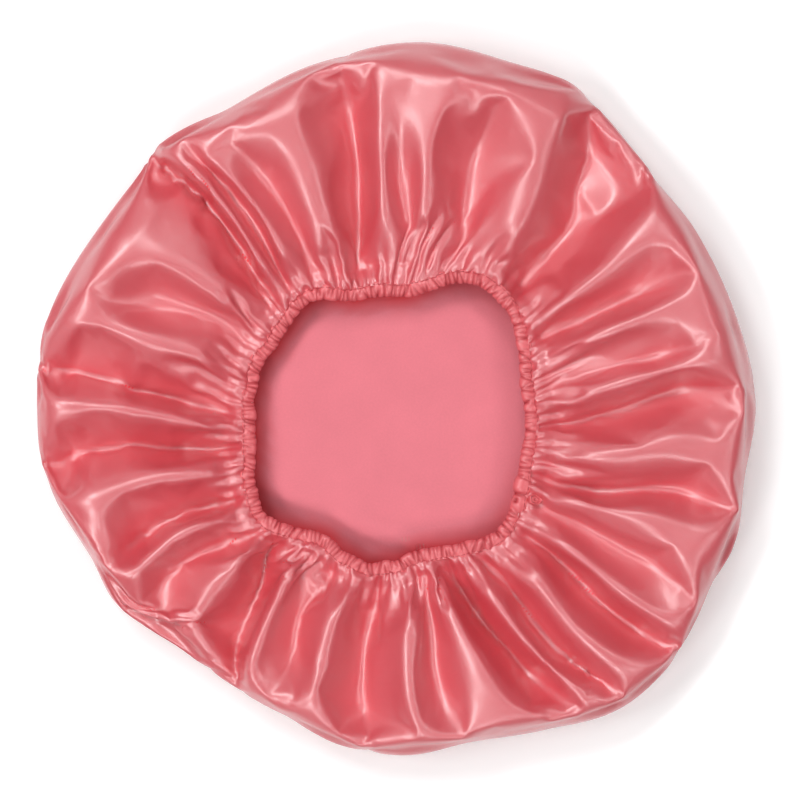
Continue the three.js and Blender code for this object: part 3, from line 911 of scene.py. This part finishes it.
def ruched_section(casing):
    """The casing's rings of points in metres, and how deep in a crease or the curl's hole each lies from 0 to 1,
    which the finish paints as shade.
    """
    draw = np.random.default_rng(CASING_SEED)
    angles = np.arange(CASING_COLUMNS) * 360 / CASING_COLUMNS
    line, outward = mouth_line(angles)
    step = np.linalg.norm(np.roll(line, -1, 0) - line, axis=1)
    along = np.concatenate([[0], np.cumsum(step)[:-1]]) / MM
    whole = step.sum() / MM
    phase = np.arange(CASING_POINTS) * 2 * math.pi / CASING_POINTS
    wide, high = squared(np.cos(phase)), squared(np.sin(phase))
    near_puff = np.exp(-((turn_between(angles, casing.join_angle + PUFF_AT) / PUFF_REACH) ** 4))
    near_curl = np.exp(-((turn_between(angles, casing.join_angle + CURL_AT) / CURL_REACH) ** 2))
    near_join = np.maximum(near_puff, near_curl)
    turn_from_join = turn_between(angles, casing.join_angle) * math.pi / 180
    from_join = turn_from_join * np.linalg.norm(line - line.mean(0), axis=1) / MM
    depth = np.zeros((CASING_COLUMNS, CASING_POINTS))
    for k in range(casing.ruffles):
        at = (k + draw.uniform(-RUFFLE_STRAY, RUFFLE_STRAY)) * whole / casing.ruffles
        slant = draw.normal(0, RUFFLE_SLANT)
        deep = draw.uniform(*RUFFLE_DEPTHS)
        width = draw.uniform(*RUFFLE_WIDTHS)
        side = draw.choice(RUFFLE_SIDES)
        away = np.mod(along[:, None] - at - slant * wide[None, :] + whole / 2, whole) - whole / 2
        reach = smoothstep(-0.9, 0.3, side * wide) if side else np.ones(CASING_POINTS)
        depth += deep * reach[None, :] * np.exp(-np.abs(away) / width)
    depth = np.minimum(depth, DEEPEST) * (1 - JOIN_SMOOTHS * near_join)[:, None]
    depth += DEEPEST * np.exp(-np.abs(from_join - PARTING_AT) / PARTING_WIDTH)[:, None]
    half_wide = casing.width / 2 / MM + wander(draw, angles, *WIDTH_SWING)
    half_wide = (half_wide + PUFF_WIDER * near_puff + CURL_WIDER * near_curl)[:, None]
    half_high = casing.height / 2 / MM + wander(draw, angles, *HEIGHT_SWING)
    half_high = (half_high + PUFF_HIGHER * near_puff + CURL_HIGHER * near_curl)[:, None]
    lower = 1 - CASING_LOWERS * smoothstep(0.1, 1, wide)[None, :]
    across = wide[None, :] * np.maximum(half_wide - CREASE_DRAWS_IN * depth, LEAST_HALF_WIDTH)
    pinch = PINCH_DEPTH * np.exp(-(((across - casing.seam / MM) / PINCH_WIDTH) ** 2))
    hole = np.exp(-((from_join / HOLE_WIDTH) ** 2)[:, None] - ((across + HOLE_IN) / HOLE_WIDTH) ** 2)
    hole = HOLE_DEPTH * (hole * (high > 0)[None, :])
    least = LEAST_HALF_HEIGHT + LAP_HEIGHT * np.exp(-((from_join / LAP_REACH) ** 4))[:, None]
    up = high[None, :] * np.maximum(half_high * lower - depth - pinch, least) - hole
    tilt = np.radians(casing.tilt + wander(draw, angles, *TILT_SWING))[:, None]
    lift = wander(draw, angles, *LIFT_SWING)[:, None]
    out = across * np.cos(tilt) - up * np.sin(tilt)
    rise = across * np.sin(tilt) + up * np.cos(tilt) + lift
    points = line[:, None, :] + outward[:, None, :] * (out * MM)[..., None]
    points[..., 2] += rise * MM
    return points, np.clip((depth + hole) / DEEPEST, 0, 1)


def join_tuck(casing):
    """The small tuck of cloth that stands up beside the join: points, faces and how deep each point lies."""
    line, outward = mouth_line(casing.join_angle + TUCK_AT + np.array([-1.0, 0.0, 1.0]))
    outward = outward[1]
    middle = line[1] + outward * TUCK_OUT * MM
    satin = np.array([vertex.co for vertex in bpy.data.objects["gathered_satin"].data.vertices])
    near = np.hypot(satin[:, 0] - middle[0], satin[:, 1] - middle[1]) < TUCK_FEELS * MM
    middle[2] = satin[near, 2].max() + TUCK_ABOVE * MM
    lean_out, lean_aside, lean_up = TUCK_LEAN
    axis = outward * lean_out + np.array([-lean_aside * outward[1], lean_aside * outward[0], lean_up])
    axis /= np.linalg.norm(axis)
    short = np.cross(axis, outward)
    short /= np.linalg.norm(short)
    long = np.cross(short, axis)
    turn = np.arange(TUCK_SIDES) * 2 * math.pi / TUCK_SIDES
    oval = np.cos(turn)[:, None] * long * TUCK_HALF_LENGTH * MM
    oval = oval + np.sin(turn)[:, None] * short * TUCK_HALF_WIDTH * MM
    wave = 1 + 0.07 * np.sin(3 * turn + 1) + 0.05 * np.sin(5 * turn)
    points, depth = [], []
    for share, rise, deep in TUCK_PROFILE:
        points.append(middle + oval * (share * wave)[:, None] + axis * rise * MM)
        depth.append(np.full(TUCK_SIDES, deep))
    return np.concatenate(points), tube_faces(len(TUCK_PROFILE), TUCK_SIDES), np.concatenate(depth)


def casing_satin(casing):
    """Ruched satin: its own colour on the puffs, with painted shade deep in the creases."""
    material, paint = new_material("casing_satin")
    crease = paint.point_value("crease")
    place = paint.place()
    haze = paint.cloud(place, 60.0, 3.0)
    grain = paint.cloud(place, 1500.0)
    puffed = paint.colours(haze, opaque(casing.puff_colour), opaque(casing.puff_colour, 0.9))
    paint.surface(
        # Painted shade: the creases and the curl's hole turn to the dark crease colour and lose their coat, where
        # the lamps' light falls short.
        base_color=paint.colours(crease, puffed, opaque(casing.crease_shade_colour)),
        roughness=0.44 + 0.14 * grain,
        specular_ior_level=0.7,
        coat_weight=0.5 * (1 - crease),
        coat_roughness=0.25,
        normal=paint.bump(grain, 0.4, 0.12 * MM),
    )
    return material


class BonnetCasingSettings(bpy.types.PropertyGroup):
    """Sizes and colours of the ruched casing."""

    width: length_setting(name="Width", description="Width of the casing", default=7.6 * MM)
    height: length_setting(name="Height", description="Height of the puffs, top to bottom", default=5.0 * MM)
    seam: length_setting(
        name="Seam", description="From the elastic's middle out to the stitches", default=2.7 * MM
    )
    tilt: FloatProperty(name="Tilt", description="Slope of the casing in degrees", default=14.0)
    ruffles: IntProperty(name="Ruffles", description="Creases round the casing", default=240)
    join_angle: FloatProperty(
        name="Join", description="Where the strip and the elastic are joined, in degrees", default=329.0
    )
    puff_colour: colour_setting(name="Puffs", description="Colour on the puffs", default=(0.8, 0.13, 0.15))
    # Painted shade: the dark colour painted into the creases and the curl's hole.
    crease_shade_colour: colour_setting(
        name="Creases", description="Colour in the creases", default=(0.4, 0.02, 0.03)
    )


class BONNET_OT_casing(bpy.types.Operator):
    """Makes the ruched casing round the mouth"""

    bl_idname = "bonnet.casing"
    bl_label = "Ruched casing"

    def execute(self, context):
        casing = context.scene.bonnet_casing
        points, crease = ruched_section(casing)
        rings, sides = points.shape[:2]
        total = rings * sides
        faces = [tuple(i % total for i in face) for face in grid_faces(rings + 1, sides)]
        tuck_points, tuck_faces, tuck_depth = join_tuck(casing)
        faces.extend(tuple(total + i for i in face) for face in tuck_faces)
        piece = new_piece("ruched_casing", np.concatenate([points.reshape(-1, 3), tuck_points]), faces)
        # How deep each point lies in a crease, the curl's hole or the tuck, which the finish paints as shade.
        depth = np.concatenate([crease.ravel(), tuck_depth]).astype(np.float32)
        piece.data.attributes.new("crease", "FLOAT", "POINT").data.foreach_set("value", depth)
        piece.data.materials.append(casing_satin(casing))
        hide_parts("casing")
        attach(piece, "mouth")
        return {"FINISHED"}


STITCH_SIDES = 6
STITCH_RINGS = 6
# Where the seam lies round the casing's section, on top and below, and the part of its length a stitch fills.
SEAM_ABOVE, SEAM_BELOW = 0.12, 0.88
STITCH_SPAN = (0.08, 0.82)
# A stitch's rise and sink in half thicknesses of the thread, its roundness, and how thin its ends are.
STITCH_RISE, STITCH_SINK = 1.6, 0.5
STITCH_ROUND = 0.6
STITCH_TAPER = 0.55


def stitch_row(points, top, stitches):
    """Points and faces of a row of stitches along the casing's seam, above it or below it."""
    rings, count = points.shape[:2]
    ring_at = SEAM_ABOVE * count if top else SEAM_BELOW * count
    low = int(ring_at)
    seam = points[:, low] * (low + 1 - ring_at) + points[:, (low + 1) % count] * (ring_at - low)
    off = np.array([0, 0, 1.0 if top else -1.0])
    step = rings / stitches.count
    radius = stitches.thickness / 2
    share = np.linspace(*STITCH_SPAN, STITCH_RINGS)
    arch = STITCH_RISE * np.sin(share * math.pi)[:, None] ** STITCH_ROUND - STITCH_SINK
    turn = np.arange(STITCH_SIDES) * 2 * math.pi / STITCH_SIDES
    spots, faces = [], []
    for k in range(stitches.count):
        i = ((k + share) * step).astype(int) % rings
        middle = seam[i] + off * radius * arch
        way = np.gradient(middle, axis=0)
        way /= np.linalg.norm(way, axis=1)[:, None]
        side = np.cross(way, off)
        side /= np.linalg.norm(side, axis=1)[:, None]
        over = np.cross(side, way)
        faces.extend(tube_faces(STITCH_RINGS, STITCH_SIDES, len(spots) * STITCH_SIDES))
        for j in range(STITCH_RINGS):
            taper = STITCH_TAPER if j in (0, STITCH_RINGS - 1) else 1.0
            circle = np.cos(turn)[:, None] * side[j] + np.sin(turn)[:, None] * over[j]
            spots.append(middle[j] + radius * taper * circle)
    return np.concatenate(spots), faces


def sewing_thread(name, colour):
    """Twisted sewing thread."""
    material, paint = new_material(name)
    twist = paint.node(
        "ShaderNodeTexWave",
        {"bands_direction": "DIAGONAL"},
        {"Vector": paint.place(), "Scale": 700.0, "Distortion": 1.5},
        "Fac",
    )
    paint.surface(
        base_color=paint.colours(twist, opaque(colour, 0.7), opaque(colour)),
        roughness=0.5 + 0.1 * twist,
        specular_ior_level=0.5,
        normal=paint.bump(twist, 0.6, 0.06 * MM),
    )
    return material


class BonnetStitchSettings(bpy.types.PropertyGroup):
    """Sizes and colour of the seam and of the elastic that it closes in."""

    count: IntProperty(name="Stitches", description="Stitches round the seam", default=176)
    thickness: length_setting(
        name="Thread", description="Thickness of the thread", default=0.4 * MM, precision=5
    )
    thread_colour: colour_setting(
        name="Thread colour", description="Colour of the thread", default=(0.6, 0.07, 0.085)
    )
    elastic_colour: colour_setting(
        name="Elastic colour", description="Colour of the elastic", default=(0.8, 0.48, 0.49)
    )


class BONNET_OT_stitches(bpy.types.Operator):
    """Sews the seam that closes the casing on the gathered top"""

    bl_idname = "bonnet.stitches"
    bl_label = "Seam stitches"

    def execute(self, context):
        stitches = context.scene.bonnet_stitches
        points, _ = ruched_section(context.scene.bonnet_casing)
        thread = sewing_thread("seam_thread", stitches.thread_colour)
        rows = (("needle_stitches", "needle_thread", True), ("bobbin_stitches", "bobbin_thread", False))
        for name, node, top in rows:
            piece = new_piece(name, *stitch_row(points, top, stitches))
            piece.data.materials.append(thread)
            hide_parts(node)
            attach(piece, "mouth")
        return {"FINISHED"}


def woven_elastic(colour):
    """Flat elastic: ribs along it, crossed by fine picks."""
    material, paint = new_material("woven_elastic")
    place = paint.place()
    ribs = paint.node(
        "ShaderNodeTexWave",
        {"wave_type": "RINGS", "rings_direction": "Z"},
        {"Vector": place, "Scale": 300.0, "Distortion": 0.4},
        "Fac",
    )
    picks = paint.cloud(place, 2400.0, 1.0)
    weave = ribs * 0.6 + picks * 0.4
    paint.surface(
        base_color=paint.colours(weave, opaque(colour, 0.8), opaque(colour)),
        roughness=0.7 + 0.15 * picks,
        specular_ior_level=0.3,
        normal=paint.bump(weave, 0.6, 0.1 * MM),
    )
    return material


class BONNET_OT_elastic(bpy.types.Operator):
    """Finishes the elastic and its tack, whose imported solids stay"""

    bl_idname = "bonnet.elastic"
    bl_label = "Elastic and tack"

    def execute(self, context):
        stitches = context.scene.bonnet_stitches
        finishes = {
            "elastic_band": woven_elastic(stitches.elastic_colour),
            "elastic_tack": sewing_thread("tack_thread", stitches.thread_colour),
        }
        for node, finish in finishes.items():
            solid = frame["nodes"][node]
            solid.data.materials.clear()
            solid.data.materials.append(finish)
        return {"FINISHED"}


class BONNET_OT_declare(bpy.types.Operator):
    """Does nothing: it declares no cut sizes or hems"""

    bl_idname = "bonnet.declare"
    bl_label = "Cut sizes"

    def execute(self, context):
        return {"FINISHED"}


# The lamps: name, bearing and height angle in degrees, width and height in metres, and share of the light.
LAMPS = (
    ("left_box", 180, 56, 0.6, 0.3, 1.7),
    ("right_box", 0, 50, 0.7, 0.35, 0.8),
    ("far_left_box", 132, 58, 0.6, 0.3, 2.2),
    ("far_box", 92, 52, 0.6, 0.35, 1.4),
    ("far_right_box", 46, 54, 0.6, 0.35, 0.5),
    ("near_left_box", 230, 56, 0.6, 0.3, 1.7),
    ("near_box", 272, 50, 0.6, 0.35, 1.2),
    ("near_right_box", 316, 52, 0.6, 0.35, 0.6),
)
# The camera's place over the floor in millimetres, the floor in metres, and the floor's own glow where it is seen.
CAMERA_OVER = (1.3, -0.25)
FLOOR_REACH, FLOOR_HEIGHT = 3.0, -0.0006
FLOOR_GLOW = 0.2
BLACK, WHITE = (0, 0, 0, 1), (1, 1, 1, 1)


class BonnetStageSettings(bpy.types.PropertyGroup):
    """The studio round the bonnet."""

    lamp_power: FloatProperty(name="Lamp power", description="Power of a lamp", default=5.0, unit="POWER")
    lamp_distance: length_setting(name="Lamp distance", description="From the bonnet to a lamp", default=2.0)
    room_light: FloatProperty(name="Room light", description="Even light from all round", default=0.1)
    camera_height: length_setting(name="Camera height", description="Height of the camera", default=3.0)
    view_width: length_setting(
        name="View width", description="Width of floor that the picture takes in", default=0.4028
    )
    floor_tone: FloatProperty(
        name="Floor tone", description="Paleness of the floor", default=0.9, subtype="FACTOR"
    )


class BONNET_OT_stage(bpy.types.Operator):
    """Sets the pale floor, the soft lamps and the camera that looks straight down"""

    bl_idname = "bonnet.stage"
    bl_label = "Studio"

    def execute(self, context):
        scene = context.scene
        stage = scene.bonnet_stage
        scene.view_settings.view_transform = "Standard"
        lens = bpy.data.cameras.new("overhead_camera")
        camera = bpy.data.objects.new("overhead_camera", lens)
        scene.collection.objects.link(camera)
        camera.location = (CAMERA_OVER[0] * MM, CAMERA_OVER[1] * MM, stage.camera_height)
        lens.lens_unit = "FOV"
        lens.angle = 2 * math.atan(stage.view_width / 2 / stage.camera_height)
        scene.camera = camera
        for name, bearing, elevation, width, height, share in LAMPS:
            lamp = bpy.data.lights.new(name, "AREA")
            lamp.shape = "RECTANGLE"
            lamp.size, lamp.size_y = width, height
            lamp.energy = stage.lamp_power * share
            box = bpy.data.objects.new(name, lamp)
            scene.collection.objects.link(box)
            bearing, elevation = math.radians(bearing), math.radians(elevation)
            level = math.cos(elevation)
            way = Vector((math.cos(bearing) * level, math.sin(bearing) * level, math.sin(elevation)))
            box.location = way * stage.lamp_distance
            box.rotation_euler = way.to_track_quat("Z", "Y").to_euler()
        world = bpy.data.worlds.new("pale_room")
        world.use_nodes = True
        scene.world = world
        paint = Finish(world.node_tree)
        sky = paint.node("ShaderNodeBackground", None, {"Color": WHITE, "Strength": stage.room_light})
        paint.node("ShaderNodeOutputWorld", None, {"Surface": sky})
        floor = level_square("pale_floor", FLOOR_REACH, FLOOR_HEIGHT)
        material, paint = new_material("pale_floor")
        seen, glossy, through = (
            paint.node("ShaderNodeLightPath", None, None, f"Is {ray} Ray")
            for ray in ("Camera", "Glossy", "Transmission")
        )
        paint.surface(
            base_color=opaque((1, 1, 1), stage.floor_tone),
            roughness=0.9,
            specular_ior_level=0.1,
            emission_color=paint.colours((seen + glossy + through) * FLOOR_GLOW, BLACK, WHITE),
            emission_strength=1.0,
        )
        floor.data.materials.append(material)
        return {"FINISHED"}


class BONNET_PT_sidebar(bpy.types.Panel):
    """Lists the bonnet's operators and settings in the sidebar"""

    bl_idname = "BONNET_PT_sidebar"
    bl_label = "Satin Hair Bonnet"
    bl_space_type = "VIEW_3D"
    bl_region_type = "UI"
    bl_category = "Bonnet"

    def draw(self, context):
        for operator in OPERATORS:
            self.layout.operator(operator.bl_idname)
        for key in SETTINGS:
            group = getattr(context.scene, key)
            box = self.layout.box()
            for name in group.bl_rna.properties.keys():
                if name not in ("rna_type", "name"):
                    box.prop(group, name)


SETTINGS = {
    "bonnet_cloth": BonnetClothSettings,
    "bonnet_casing": BonnetCasingSettings,
    "bonnet_stitches": BonnetStitchSettings,
    "bonnet_stage": BonnetStageSettings,
}
OPERATORS = (
    BONNET_OT_stage,
    BONNET_OT_cloth,
    BONNET_OT_casing,
    BONNET_OT_stitches,
    BONNET_OT_elastic,
    BONNET_OT_declare,
)


def register():
    for group in (*SETTINGS.values(), *OPERATORS, BONNET_PT_sidebar):
        bpy.utils.register_class(group)
    for key, group in SETTINGS.items():
        setattr(bpy.types.Scene, key, PointerProperty(type=group))


def unregister():
    for key in SETTINGS:
        delattr(bpy.types.Scene, key)
    for group in reversed((*SETTINGS.values(), *OPERATORS, BONNET_PT_sidebar)):
        bpy.utils.unregister_class(group)


def main():
    register()
    bpy.ops.bonnet.stage()
    bpy.ops.bonnet.cloth()
    bpy.ops.bonnet.casing()
    bpy.ops.bonnet.stitches()
    bpy.ops.bonnet.elastic()
    bpy.ops.bonnet.declare()


if __name__ == "__main__":
    main()
